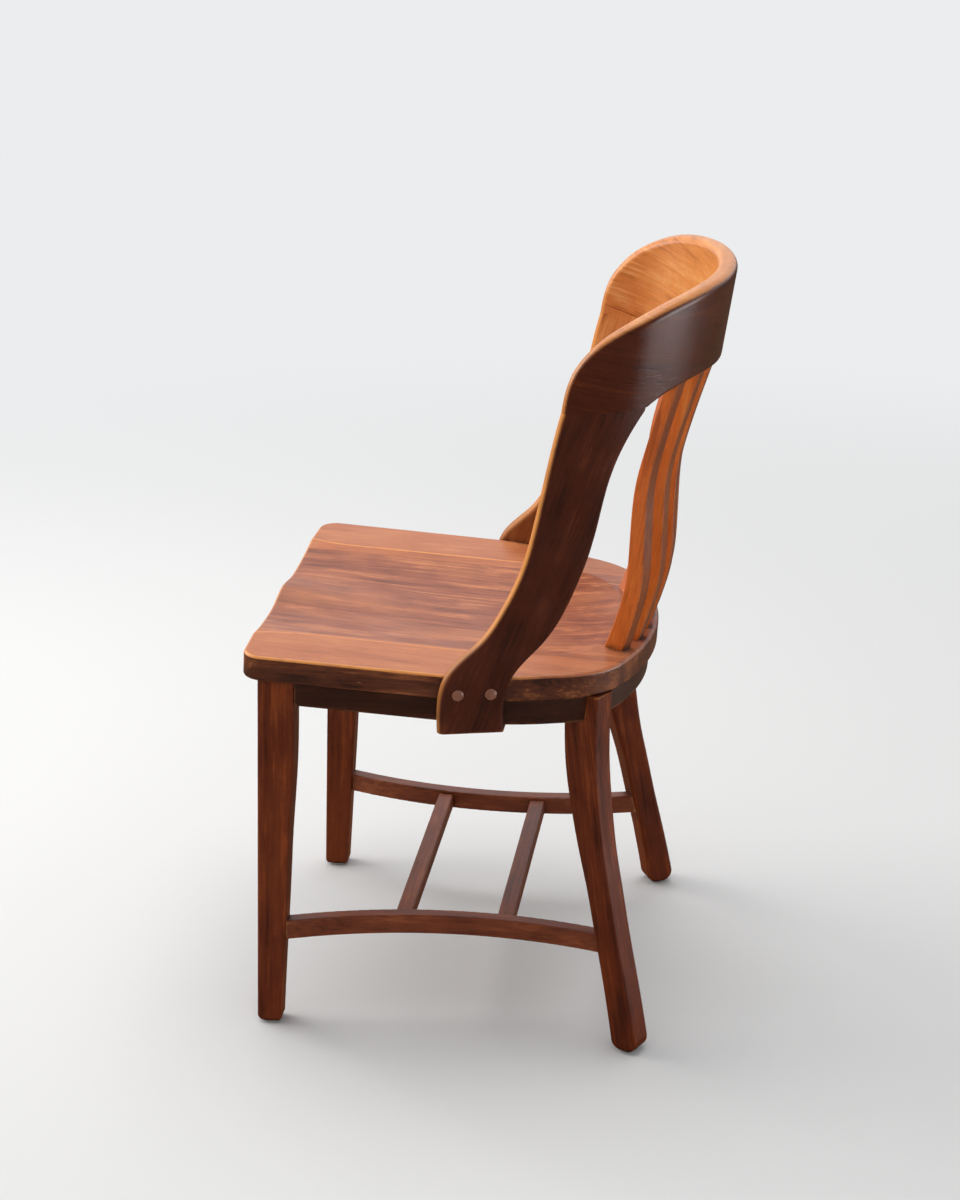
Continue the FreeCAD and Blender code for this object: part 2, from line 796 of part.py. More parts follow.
def slat(number):
    """Curved slat, counted from the left, with a tenon into the seat and one into the crest.

    It is drawn facing forwards at its foot, X across it and Y through its depth, leans sideways
    to its place under the crest, and is turned to face the middle of the hoop.
    """
    place = number - (slat_count - 1) / 2
    foot_x = place * slat_pitch_seat
    head_x = place * slat_pitch_crest
    foot_y = front_y + slat_foot_setback - foot_x ** 2 / (2 * slat_foot_curve)
    head_y = front_y + slat_head_setback - head_x ** 2 / (2 * slat_head_curve)
    turn = (math.asin(foot_x / slat_foot_curve) + math.asin(head_x / slat_head_curve)) / 2
    spread = Vector(head_x - foot_x, head_y - foot_y, 0)
    sideways = spread.dot(Vector(math.cos(turn), -math.sin(turn), 0))
    backward = spread.dot(Vector(math.sin(turn), math.cos(turn), 0))
    foot_z = rise(slat_foot_rise)
    height = rise(slat_head_rise) - foot_z
    rear = []
    front = []
    for share, bulge, depth in slat_shape:
        back = share * backward + bulge
        rear.append(Vector(-reach, back, foot_z + share * height))
        front.append(Vector(-reach, back - depth, foot_z + share * height))
    foot_end = foot_z - slat_seat_tenon
    head_end = foot_z + height + slat_crest_tenon
    side = prism(
        [
            bspline_edge(rear),
            line_edge(rear[-1], Vector(-reach, rear[-1].y, head_end)),
            line_edge(Vector(-reach, rear[-1].y, head_end), Vector(-reach, front[-1].y, head_end)),
            line_edge(Vector(-reach, front[-1].y, head_end), front[-1]),
            bspline_edge(front),
            line_edge(front[0], Vector(-reach, front[0].y, foot_end)),
            line_edge(Vector(-reach, front[0].y, foot_end), Vector(-reach, rear[0].y, foot_end)),
            line_edge(Vector(-reach, rear[0].y, foot_end), rear[0]),
        ],
        Vector(2 * reach, 0, 0),
    )
    slant = sideways / height
    foot_shift = slant * (foot_end - foot_z)
    head_shift = slant * (head_end - foot_z)
    face = polygon_prism(
        [
            Vector(foot_shift - slat_width / 2, -reach, foot_end),
            Vector(foot_shift + slat_width / 2, -reach, foot_end),
            Vector(head_shift + slat_width / 2, -reach, head_end),
            Vector(head_shift - slat_width / 2, -reach, head_end),
        ],
        Vector(0, 2 * reach, 0),
    )
    piece = main_solid(side.common(face))
    piece = piece.makeFillet(slat_edge_radius, long_edges(piece, height / 2))
    piece.rotate(Vector(0, 0, 0), Vector(0, 0, 1), -math.degrees(turn))
    piece.translate(Vector(foot_x, foot_y, 0))
    return main_solid(piece)


def post_screw(distance):
    """Round-headed screw through the right post's foot into the seat's edge."""
    angle = math.radians(hoop_side_angle)
    foot = Vector(0, front_y + post_foot_setback, post_screw_height)
    line = plan_way(angle + math.pi / 2)
    offset = hoop_offset(post_screw_height)
    along = foot.dot(line) + post_foot_width / 2 * plan_way(0).dot(line) + distance
    place = plan_way(angle) * offset + line * along + Vector(0, 0, post_screw_height)
    head = post_screw_head_radius
    dome = post_screw_head_height
    sphere = (head ** 2 + dome ** 2) / (2 * dome)
    steps = 6
    points = [(0, -hoop_thickness - post_screw_bite)]
    points.append((post_screw_shank_radius, -hoop_thickness - post_screw_bite + post_screw_shank_radius))
    points.append((post_screw_shank_radius, 0))
    for step in range(steps):
        radius = head * (1 - step / steps)
        points.append((radius, math.sqrt(sphere ** 2 - radius ** 2) - sphere + dome))
    points.append((0, dome))
    return turned(points, place, plan_way(angle))


def crest_dowels():
    """Dowels across the joints between the posts and the crest, along the lean of the back."""
    centre, _ = hoop_corner()
    joint = rise(crest_joint_rise)
    lean_way = Vector(0, math.sin(lean), math.cos(lean))
    shift = Vector(0, -(top_height - joint) * math.tan(lean), joint)
    dowels = []
    for angle in dowel_angles:
        middle = centre + plan_way(math.radians(angle)) * (hoop_corner_radius - hoop_thickness / 2)
        start = middle + shift - lean_way * (dowel_length / 2)
        dowels.append(Part.makeCylinder(dowel_radius, dowel_length, start, lean_way))
    return dowels


def block_screw(block):
    """Countersunk screw from below, through a corner block into the seat."""
    down = Vector(0, -math.sin(slope), -math.cos(slope))
    centre = block.CenterOfMass
    low = centre + down * (block_height / 2)
    head = block_screw_head_radius
    shank = block_screw_radius
    length = block_height + block_screw_bite
    points = [(0, 0), (head, 0), (shank, head - shank), (shank, length - shank), (0, length)]
    return turned(points, low, down * -1)


def glide(x, y):
    """Domed metal glide with its nail, under a foot."""
    points = [
        (0, 0),
        (glide_flat_radius, 0),
        (glide_radius, glide_height / 2),
        (glide_radius, glide_height),
        (glide_nail_radius, glide_height),
        (glide_nail_radius, glide_height + glide_nail_length - glide_nail_radius),
        (0, glide_height + glide_nail_length),
    ]
    return turned(points, Vector(x, y, 0), Vector(0, 0, 1))


def seat_boards(seat):
    """Boards that the seat is glued up from, side by side, left to right."""
    limits = (-reach,) + seat_joints + (reach,)
    boards = []
    for left, right in zip(limits, limits[1:]):
        slice_box = Part.makeBox(right - left, 2 * reach, 3 * reach, Vector(left, -reach, -reach))
        boards.append(main_solid(seat.common(slice_box)))
    return boards


def write(name, shape):
    os.makedirs("parts", exist_ok=True)
    shape.exportStep(os.path.join("parts", name + ".step"))


def foot_centre(leg):
    """Centre of the flat under a leg, in plan."""
    flat = [face for face in leg.Faces if face.BoundBox.ZMax < glide_height + hair]
    return flat[0].CenterOfMass


def main():
    pieces = {}
    below = under_seat()
    front_shape = front_leg_sharp()
    rear_shape = rear_leg_sharp()
    front_leg = rounded_front_leg(front_shape)
    rear_leg = rounded_rear_leg(rear_shape)
    post_shape = post_sharp()
    post = rounded_hoop_piece(post_shape, post_front_edge + hoop_top_edge[:1], post_rear_edge)
    crest = rounded_hoop_piece(crest_sharp(), hoop_top_edge, crest_lower_edge)
    slats = [slat(number) for number in range(slat_count)]

    apron = cut_by(side_apron(front_shape), [post_shape])
    rear_rail = rear_apron(rear_shape)
    side_bar = side_stretcher([front_shape, rear_shape])
    side_tenons = side_stretcher_tenons()
    side_bars = [side_bar, mirrored(side_bar)]
    cross_bars = [cross_stretcher(setback, side_bars) for setback in cross_stretcher_setbacks]
    cross_tenons = [cross_stretcher_tenons(setback) for setback in cross_stretcher_setbacks]

    front_block = corner_block(Vector(1, -1, 0), front_block_distance, [front_shape])
    back_block = corner_block(Vector(1, 1, 0), back_block_distance, [rear_shape, apron, rear_rail])
    blocks = [front_block, back_block]
    block_screws = [block_screw(block) for block in blocks]
    block_screws += [mirrored(screw) for screw in block_screws]
    post_screws = [post_screw(distance) for distance in post_screw_places]
    post_screws += [mirrored(screw) for screw in post_screws]
    dowels = crest_dowels()
    dowels += [mirrored(dowel) for dowel in dowels]
    glides = []
    for leg in (front_leg, rear_leg):
        centre = foot_centre(leg)
        glides.append(glide(centre.x, centre.y))
        glides.append(glide(-centre.x, centre.y))

    seat = cut_by(seat_solid(), [post_shape, mirrored(post_shape)] + slats + post_screws + block_screws)
    for number, board in enumerate(seat_boards(seat)):
        pieces["seat_board_" + str(number + 1)] = board

    front_leg = cut_by(front_leg.common(below), [side_tenons] + glides)
    rear_leg = cut_by(rear_leg.common(below), [side_tenons, apron, rear_rail] + glides)
    side_bar = cut_by(side_bar, cross_tenons)
    post = cut_by(post, post_screws + dowels)
    blocks = [cut_by(block, block_screws) for block in blocks]
    sides = {
        "front_leg": front_leg,
        "rear_leg": rear_leg,
        "side_apron": apron,
        "side_stretcher": side_bar,
        "back_post": post,
        "front_corner_block": blocks[0],
        "rear_corner_block": blocks[1],
    }
    for name, shape in sides.items():
        pieces[name + "_right"] = shape
        pieces[name + "_left"] = mirrored(shape)

    pieces["front_apron"] = front_apron(front_shape)
    pieces["rear_apron"] = rear_rail
    pieces["front_cross_stretcher"] = cross_bars[0]
    pieces["rear_cross_stretcher"] = cross_bars[1]
    pieces["crest_rail"] = cut_by(crest, slats + dowels)
    for number, piece in enumerate(slats):
        pieces["slat_" + str(number + 1)] = piece
    pieces["post_screws"] = Part.makeCompound(post_screws)
    pieces["block_screws"] = Part.makeCompound(block_screws)
    pieces["crest_dowels"] = Part.makeCompound(dowels)
    pieces["glides"] = Part.makeCompound(glides)
    for name, shape in pieces.items():
        write(name, shape)


main()
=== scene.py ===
import bpy
from bpy.props import FloatProperty, FloatVectorProperty, PointerProperty
from bpy.types import NodeSocket, Operator, Panel, PropertyGroup
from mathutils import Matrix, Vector

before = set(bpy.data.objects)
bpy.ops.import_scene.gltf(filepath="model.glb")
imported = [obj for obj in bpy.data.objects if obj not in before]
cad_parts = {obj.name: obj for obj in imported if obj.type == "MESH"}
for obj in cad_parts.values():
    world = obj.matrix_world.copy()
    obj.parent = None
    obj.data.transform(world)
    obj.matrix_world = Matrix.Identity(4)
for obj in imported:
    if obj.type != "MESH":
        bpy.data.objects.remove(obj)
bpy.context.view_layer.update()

bl_info = {
    "name": "Hoop back side chair",
    "version": (1, 0, 0),
    "blender": (4, 5, 0),
    "location": "3D View > Sidebar > Chair",
    "description": "Finishes a packed wooden side chair and sets it on a pale studio floor",
    "category": "Object",
}

# The photograph's view: the camera's place and aim in metres, its sensor in millimetres
camera_place = (2.6536, 0.3489, 1.4634)
camera_aim = (-0.0030, -0.0245, 0.4538)
long_side_sensor = 36.0
# The crest's grain follows its bend and falls a little to the back
crest_grain_slope = 0.25
crest_grain_squeeze = 0.05
# The height of the glued joint between the posts and the crest, in metres
joint_height = 0.75
# The rim of the dish, in metres: its distance from the middle, how much it widens towards the
# front edge and over what length, and where the front edge is
rim_distance = 0.150
rim_flare = 0.012
rim_flare_length = 0.06
seat_front_y = -0.2608
# How much darker the rear of the seat is, as painted shade under the back
rear_painted_shade = 0.45

# The grain's tone of the body colour, and how far from it the dark and pale colours are reached
body_tone = 0.5
tone_reach = 0.45
mottle_share = 0.3
dark_line_share = 0.3
# Relief of the grain, as shares of its depth
fibre_height = 0.25
pore_depth = 0.8
knock_depth = 1.5
wood_bump = 0.6
# How strong scratches are beside spots
scratch_share = 0.6
# What is added to the varnish's roughness, or taken from it
varnish_fill = 0.12
worn_roughness = 0.12
cloud_roughness = 0.14
scuff_roughness = 0.2
# Reach of wear and of corner dirt and painted shade on screws and glides, and the depth of their
# scratches, in metres
small_edge_reach = 0.0012
small_grime_and_shade_reach = 0.003
scratch_depth = 0.00008

# The floor's half width in metres, and the direction from which the varnish sees bright air
floor_reach = 30.0
bright_direction = (-0.85, -0.25, 0.45)

# The standard display curve: its straight toe, and the power above it
toe_end = 0.04045
toe_slope = 12.92
curve_shift = 0.055
curve_power = 2.4


def stain(red, green, blue):
    """Linear colour from 0 to 255 display values, with the display curve undone."""

    def undo(level):
        if level < toe_end:
            return level / toe_slope
        return ((level + curve_shift) / (1 + curve_shift)) ** curve_power

    return [undo(channel / 255) for channel in (red, green, blue)]


def colour_setting(name, description, red, green, blue):
    """A colour property from display values."""
    return FloatVectorProperty(
        name=name,
        description=description,
        default=stain(red, green, blue),
        size=3,
        min=0,
        max=1,
        subtype="COLOR",
    )


def share_setting(name, description, default):
    """A property from 0 to 1."""
    return FloatProperty(
        name=name, description=description, default=default, min=0, max=1, subtype="FACTOR"
    )


def length_setting(name, description, default):
    """A length property in metres."""
    return FloatProperty(
        name=name, description=description, default=default, min=0, unit="LENGTH"
    )


def power_setting(name, description, default):
    """A lamp's power in watts."""
    return FloatProperty(name=name, description=description, default=default, min=0, unit="POWER")


class ChairColours(PropertyGroup):
    """Stain colours: the dark streaks, the body and the pale streaks of each kind of part."""

    seat_dark: colour_setting("Seat dark", "Dark streaks of the dished seat", 116, 58, 34)
    seat_body: colour_setting("Seat", "Body colour of the dished seat", 152, 82, 52)
    seat_pale: colour_setting("Seat pale", "Golden patches of the dished seat", 200, 124, 76)
    rim_dark: colour_setting("Rim dark", "Dark streaks of the seat's side boards", 150, 80, 46)
    rim_body: colour_setting("Rim", "Body colour of the seat's side boards", 184, 106, 62)
    rim_pale: colour_setting("Rim pale", "Pale streaks of the seat's side boards", 206, 132, 82)
    side_dark: colour_setting("Seat edge dark", "Dark streaks of the seat's edge", 54, 22, 8)
    side_body: colour_setting("Seat edge", "Body colour of the seat's edge", 92, 40, 14)
    side_pale: colour_setting("Seat edge pale", "Pale streaks of the seat's edge", 152, 84, 38)
    # The golden crest colours are a painted lit side of the hoop's wood, for faces turned to the
    # lamps
    crest_dark: colour_setting("Crest dark", "Dark streaks inside the crest", 168, 84, 30)
    crest_body: colour_setting("Crest", "Body colour inside the crest", 218, 130, 60)
    crest_pale: colour_setting("Crest pale", "Pale streaks inside the crest", 238, 166, 98)
    # The dark hoop colours also paint shade on the slats' rear faces
    hoop_dark: colour_setting("Hoop dark", "Dark streaks outside the crest and posts", 54, 18, 4)
    hoop_body: colour_setting("Hoop", "Body colour outside the crest and posts", 80, 29, 7)
    hoop_pale: colour_setting("Hoop pale", "Pale streaks outside the crest and posts", 112, 49, 14)
    slat_dark: colour_setting("Slat dark", "Dark streaks of the slats", 166, 80, 26)
    slat_body: colour_setting("Slat", "Body colour of the slats", 208, 106, 38)
    slat_pale: colour_setting("Slat pale", "Pale streaks of the slats", 226, 136, 60)
    leg_dark: colour_setting("Leg dark", "Dark streaks of the legs", 68, 23, 4)
    leg_body: colour_setting("Leg", "Body colour of the legs", 101, 38, 6)
    leg_pale: colour_setting("Leg pale", "Pale streaks of the legs", 142, 63, 14)
    apron_dark: colour_setting("Apron dark", "Dark streaks of the apron", 44, 16, 4)
    apron_body: colour_setting("Apron", "Body colour of the apron", 61, 25, 6)
    apron_pale: colour_setting("Apron pale", "Pale streaks of the apron", 82, 37, 12)
    rail_dark: colour_setting("Stretcher dark", "Dark streaks of the stretchers", 88, 36, 12)
    rail_body: colour_setting("Stretcher", "Body colour of the stretchers", 122, 54, 20)
    rail_pale: colour_setting("Stretcher pale", "Pale streaks of the stretchers", 154, 78, 36)
    block_dark: colour_setting("Block dark", "Dark streaks of the hidden blocks", 102, 60, 34)
    block_body: colour_setting("Block", "Body colour of the hidden blocks", 142, 92, 56)
    block_pale: colour_setting("Block pale", "Pale streaks of the hidden blocks", 168, 118, 76)
    # The worn colour also paints light on the crest's top and front and on the posts' front edges
    worn: colour_setting("Worn wood", "Wood where the stain has rubbed away", 226, 146, 70)
    scuff: colour_setting("Scuff", "Dry scratches in the varnish", 220, 168, 124)
    # Near-black corner colour: old wax and dirt, and painted shade where parts meet
    grime_and_shade: colour_setting("Grime", "Old wax and dirt in the corners", 24, 11, 7)
    screw: colour_setting("Screw", "Brown finish of the post screws", 152, 98, 74)
    steel: colour_setting("Block screw", "Plain steel of the hidden screws", 150, 148, 144)
    nylon: colour_setting("Glide", "Scuffed white nylon of the glides", 214, 212, 207)


class ChairWear(PropertyGroup):
    """How used the chair looks."""

    edge_wear: share_setting("Edge wear", "How much stain is rubbed off the edges", 0.7)
    edge_reach: length_setting("Edge reach", "How far from an edge the rubbing goes", 0.005)
    # The reach of the corner dirt and painted shade
    grime_and_shade_reach: length_setting("Grime reach", "How far the dirt reaches out of a corner", 0.012)
    grain_relief: length_setting("Grain relief", "Depth of the pores in the varnish", 0.0002)


class StudioSettings(PropertyGroup):
    """The floor, the lamps and the lens."""

    lens: FloatProperty(
        name="Lens", description="Focal length", default=73.8, min=1, unit="CAMERA"
    )
    floor_colour: colour_setting("Floor", "Colour of the floor", 228, 227, 226)
    floor_shine: colour_setting("Floor in the varnish", "What the varnish shows of it", 120, 92, 70)
    backdrop_colour: colour_setting("Backdrop", "Colour of the far floor and air", 236, 237, 238)
    key_level: power_setting("Key", "Power of the key lamp in front", 70)
    top_level: power_setting("Top", "Power of the overhead lamp", 58)
    fill_level: power_setting("Fill", "Power of the near side lamp", 9)
    sheen_level: power_setting("Sheen", "Power of the rear panel", 24)
    air_level: FloatProperty(
        name="Air", description="Strength of the soft light all round", default=0.46, min=0
    )


class Weave:
    """Adds nodes to a node tree and joins them by their sockets."""

    def __init__(self, tree):
        self.tree = tree

    def put(self, socket, value):
        """A socket is linked; any other value becomes the default."""
        if isinstance(value, NodeSocket):
            self.tree.links.new(value, socket)
        else:
            socket.default_value = value

    def add(self, kind, inputs=(), **settings):
        node = self.tree.nodes.new(kind)
        for name, value in settings.items():
            setattr(node, name, value)
        for name, value in dict(inputs).items():
            self.put(node.inputs[name], value)
        return node

    def math(self, operation, *values, clamp=False):
        node = self.add("ShaderNodeMath", operation=operation, use_clamp=clamp)
        for socket, value in zip(node.inputs, values):
            self.put(socket, value)
        return node.outputs[0]

    def product(self, *values):
        result = values[0]
        for value in values[1:]:
            result = self.math("MULTIPLY", result, value)
        return result

    def vector(self, operation, *values, output="Vector"):
        node = self.add("ShaderNodeVectorMath", operation=operation)
        for socket, value in zip(node.inputs, values):
            self.put(socket, value)
        return node.outputs[output]

    def scaled(self, vector, scale):
        return self.vector("MULTIPLY", vector, scale)

    def axes(self, vector):
        return self.add("ShaderNodeSeparateXYZ", {"Vector": vector}).outputs

    def normal(self):
        return self.add("ShaderNodeNewGeometry").outputs["Normal"]

    def object_place(self):
        return self.add("ShaderNodeTexCoord").outputs["Object"]

    def noise(self, vector, scale, detail=2.0, roughness=0.5):
        inputs = {"Vector": vector, "Scale": scale, "Detail": detail, "Roughness": roughness}
        return self.add("ShaderNodeTexNoise", inputs).outputs["Fac"]

    def ramp(self, value, low, high, bottom=0.0, top=1.0):
        """Smooth step from bottom at low to top at high."""
        node = self.add("ShaderNodeMapRange", {"Value": value}, interpolation_type="SMOOTHSTEP")
        names = ("From Min", "From Max", "To Min", "To Max")
        for name, bound in zip(names, (low, high, bottom, top)):
            self.put(node.inputs[name], bound)
        return node.outputs["Result"]

    def spots(self, vector, scale, low, high, along=1.0, detail=2.0, roughness=0.5, **ends):
        """Smooth step of noise; along below 1 draws the noise out along the first axis."""
        stretched = self.scaled(vector, (along, 1.0, 1.0))
        return self.ramp(self.noise(stretched, scale, detail, roughness), low, high, **ends)

    def mix(self, share, first, second):
        node = self.add("ShaderNodeMix", data_type="RGBA")
        for index, value in ((0, share), (6, first), (7, second)):
            self.put(node.inputs[index], value)
        return node.outputs[2]

    def group(self, name, inputs):
        node = self.add("ShaderNodeGroup", node_tree=bpy.data.node_groups[name])
        for socket, value in inputs.items():
            self.put(node.inputs[socket], value)
        return node.outputs


def new_group(name, inputs, outputs):
    """Empty shader node group with the named sockets; returns its weave, inputs and outputs."""
    tree = bpy.data.node_groups.new(name, "ShaderNodeTree")
    kinds = {"colour": "NodeSocketColor", "value": "NodeSocketFloat", "vector": "NodeSocketVector"}
    for title, kind in inputs.items():
        tree.interface.new_socket(title, in_out="INPUT", socket_type=kinds[kind])
    for title, kind in outputs.items():
        tree.interface.new_socket(title, in_out="OUTPUT", socket_type=kinds[kind])
    weave = Weave(tree)
    return weave, weave.add("NodeGroupInput").outputs, weave.add("NodeGroupOutput").inputs


def build_grain_group():
    """Stained wood under varnish. The vector runs along the grain on its first axis, in metres.

    Streaks are noise stretched along the grain and bent by a slower noise. Fibres and pores are
    finer noises stretched in the same way. Mottling and patches are broad soft spots. The tone
    runs from 0, the dark colour, through a half, the body colour, to 1, the pale colour.
    """
    inputs = {
        "Vector": "vector",
        "Dark": "colour",
        "Body": "colour",
        "Pale": "colour",
        "Streaks": "value",
        "Waviness": "value",
        "Patches": "value",
        "Pores": "value",
    }
    outputs = {"Color": "colour", "Height": "value", "Tone": "value"}
    weave, given, made = new_group("Wood grain", inputs, outputs)
    place = given["Vector"]
    sway = weave.noise(weave.scaled(place, (0.14, 1.0, 1.0)), scale=11.0)
    bend = weave.math("MULTIPLY", weave.math("SUBTRACT", sway, 0.5), given["Waviness"])
    bend_vector = weave.add("ShaderNodeCombineXYZ", {"X": 0.0, "Y": bend, "Z": bend}).outputs[0]
    bent = weave.vector("ADD", place, bend_vector)

    broad = weave.spots(
        bent, scale=62.0, low=0.26, high=0.74, along=0.035, detail=3.0, roughness=0.55
    )
    fine = weave.spots(
        bent, scale=330.0, low=0.22, high=0.78, along=0.035, detail=3.0, roughness=0.6
    )
    line = weave.spots(bent, scale=240.0, low=0.6, high=0.74, along=0.02)
    fibre = weave.noise(weave.scaled(bent, (0.03, 1.0, 1.0)), scale=1400.0, roughness=0.6)
    pore = weave.spots(bent, scale=1000.0, low=0.6, high=0.72, along=0.08, detail=1.0)
    pore = weave.math("MULTIPLY", pore, given["Pores"])
    mottle = weave.spots(place, scale=38.0, low=0.3, high=0.7, along=0.5, detail=4.0, roughness=0.6)
    patch = weave.spots(
        bent, scale=13.0, low=0.48, high=0.76, along=0.4, detail=3.0, roughness=0.55
    )

    streak = weave.math("MULTIPLY_ADD", broad, 0.5, weave.math("MULTIPLY_ADD", fine, 0.5, -0.5))
    tone = weave.math("MULTIPLY_ADD", streak, given["Streaks"], body_tone)
    tone = weave.math("MULTIPLY_ADD", weave.math("SUBTRACT", mottle, 0.5), mottle_share, tone)
    lines = weave.math("MULTIPLY", line, given["Streaks"])
    tone = weave.math("MULTIPLY_ADD", lines, -dark_line_share, tone, clamp=True)

    darkness = weave.ramp(tone, low=body_tone, high=body_tone - tone_reach)
    paleness = weave.ramp(tone, low=body_tone, high=body_tone + tone_reach)
    colour = weave.mix(darkness, given["Body"], given["Dark"])
    colour = weave.mix(paleness, colour, given["Pale"])
    colour = weave.mix(weave.math("MULTIPLY", patch, given["Patches"]), colour, given["Pale"])
    colour = weave.mix(weave.math("MULTIPLY", pore, 0.5), colour, given["Dark"])
    shaded = weave.add("ShaderNodeVectorMath", {"Vector": colour}, operation="SCALE")
    fibre_light = weave.ramp(fibre, low=0.25, high=0.75, bottom=0.93, top=1.06)
    weave.put(shaded.inputs["Scale"], fibre_light)

    ridges = weave.math("MULTIPLY", fibre, fibre_height)
    weave.put(made["Color"], shaded.outputs["Vector"])
    weave.put(made["Height"], weave.math("MULTIPLY_ADD", pore, -pore_depth, ridges))
    weave.put(made["Tone"], tone)


def build_wear_group():
    """Where an edge is rubbed: how closed the near space inside the wood is, broken by noise."""
    inputs = {"Vector": "vector", "Reach": "value", "Amount": "value"}
    weave, given, made = new_group("Edge wear", inputs, {"Wear": "value"})
    probe = weave.add(
        "ShaderNodeAmbientOcclusion",
        {"Distance": given["Reach"]},
        inside=True,
        only_local=True,
        samples=12,
    )
    edge = weave.math("SUBTRACT", 1.0, probe.outputs["AO"])
    place = given["Vector"]
    breakup = weave.spots(
        place, scale=55.0, low=0.28, high=0.62, detail=4.0, roughness=0.65, bottom=0.2, top=1.3
    )
    mask = weave.ramp(weave.math("MULTIPLY", edge, breakup), low=0.26, high=0.62)
    weave.put(made["Wear"], weave.math("MULTIPLY", mask, given["Amount"], clamp=True))


def build_grime_and_shade_group():
    """Dirt and painted shade in corners between parts: how closed the space outside the surface is.
    """
    inputs = {"Vector": "vector", "Reach": "value", "Amount": "value"}
    weave, given, made = new_group("Corner grime and shade", inputs, {"Grime": "value"})
    probe = weave.add("ShaderNodeAmbientOcclusion", {"Distance": given["Reach"]}, samples=8)
    closed = weave.math("SUBTRACT", 1.0, probe.outputs["AO"])
    place = given["Vector"]
    breakup = weave.spots(place, scale=120.0, low=0.2, high=0.8, detail=3.0, bottom=0.6, top=1.3)
    mask = weave.ramp(weave.math("MULTIPLY", closed, breakup), low=0.12, high=0.75)
    weave.put(made["Grime"], weave.math("MULTIPLY", mask, given["Amount"], clamp=True))


def build_scuff_group():
    """Thin dry scratches across the grain and small knocks, thinned out by a broad noise."""
    inputs = {"Vector": "vector", "Amount": "value"}
    outputs = {"Scuff": "value", "Knock": "value"}
    weave, given, made = new_group("Scuffs", inputs, outputs)
    place = given["Vector"]
    slant = {"Vector": place, "Rotation": (0.5, 0.4, 0.7), "Scale": (0.12, 1.0, 1.0)}
    slanted = weave.add("ShaderNodeMapping", slant).outputs[0]
    line = weave.spots(slanted, scale=420.0, low=0.7, high=0.76, roughness=0.4)
    line_patch = weave.spots(place, scale=26.0, low=0.54, high=0.7)
    spot = weave.spots(place, scale=260.0, low=0.68, high=0.78, detail=3.0, roughness=0.6)
    spot_patch = weave.spots(place, scale=17.0, low=0.56, high=0.68)
    lines = weave.product(line, line_patch, scratch_share)
    both = weave.math("MAXIMUM", lines, weave.product(spot, spot_patch))
    knock = weave.spots(place, scale=70.0, low=0.68, high=0.8, detail=1.0)
    weave.put(made["Scuff"], weave.math("MULTIPLY", both, given["Amount"], clamp=True))
    weave.put(made["Knock"], weave.math("MULTIPLY", knock, given["Amount"]))


def grain_turn(direction):
    """Euler turn whose first axis points along the grain."""
    return Vector(direction).to_track_quat("X", "Z").to_euler()


def fresh_material(name):
    """New node material; returns it, its weave and its shader."""
    material = bpy.data.materials.new(name)
    material.use_nodes = True
    material.node_tree.nodes.clear()
    weave = Weave(material.node_tree)
    shader = weave.add("ShaderNodeBsdfPrincipled")
    output = weave.add("ShaderNodeOutputMaterial")
    weave.put(output.inputs["Surface"], shader.outputs[0])
    return material, weave, shader


def palette(kind):
    """The dark, body and pale colours of one kind of part."""
    colours = bpy.context.scene.chair_colours
    return [(*getattr(colours, kind + "_" + tone), 1.0) for tone in ("dark", "body", "pale")]


def plain_colour(name):
    """One of the colour settings, with an alpha of one."""
    return (*getattr(bpy.context.scene.chair_colours, name), 1.0)


def grain_sockets(weave, place, kind, streaks, waviness, patches, pores):
    """The grain group in one kind's colours."""
    dark, body, pale = palette(kind)
    return weave.group(
        "Wood grain",
        {
            "Vector": place,
            "Dark": dark,
            "Body": body,
            "Pale": pale,
            "Streaks": streaks,
            "Waviness": waviness,
            "Patches": patches,
            "Pores": pores,
        },
    )


def straight_grain(direction, origin):
    """Grain that runs one way through the part: a function that turns the object place."""

    def lay(weave, place):
        return weave.add(
            "ShaderNodeMapping",
            {"Vector": place, "Location": origin, "Rotation": grain_turn(direction)},
            vector_type="TEXTURE",
        ).outputs[0]

    return lay


def bent_grain(weave, place):
    """Grain that follows the bent crest, in planes that fall a little to the back."""
    parts = weave.axes(place)
    height = weave.math("MULTIPLY_ADD", parts["Y"], crest_grain_slope, parts["Z"])
    along = weave.math("ADD", parts["X"], parts["Y"])
    across = weave.math("MULTIPLY", parts["X"], crest_grain_squeeze)
    return weave.add("ShaderNodeCombineXYZ", {"X": along, "Y": across, "Z": height}).outputs[0]


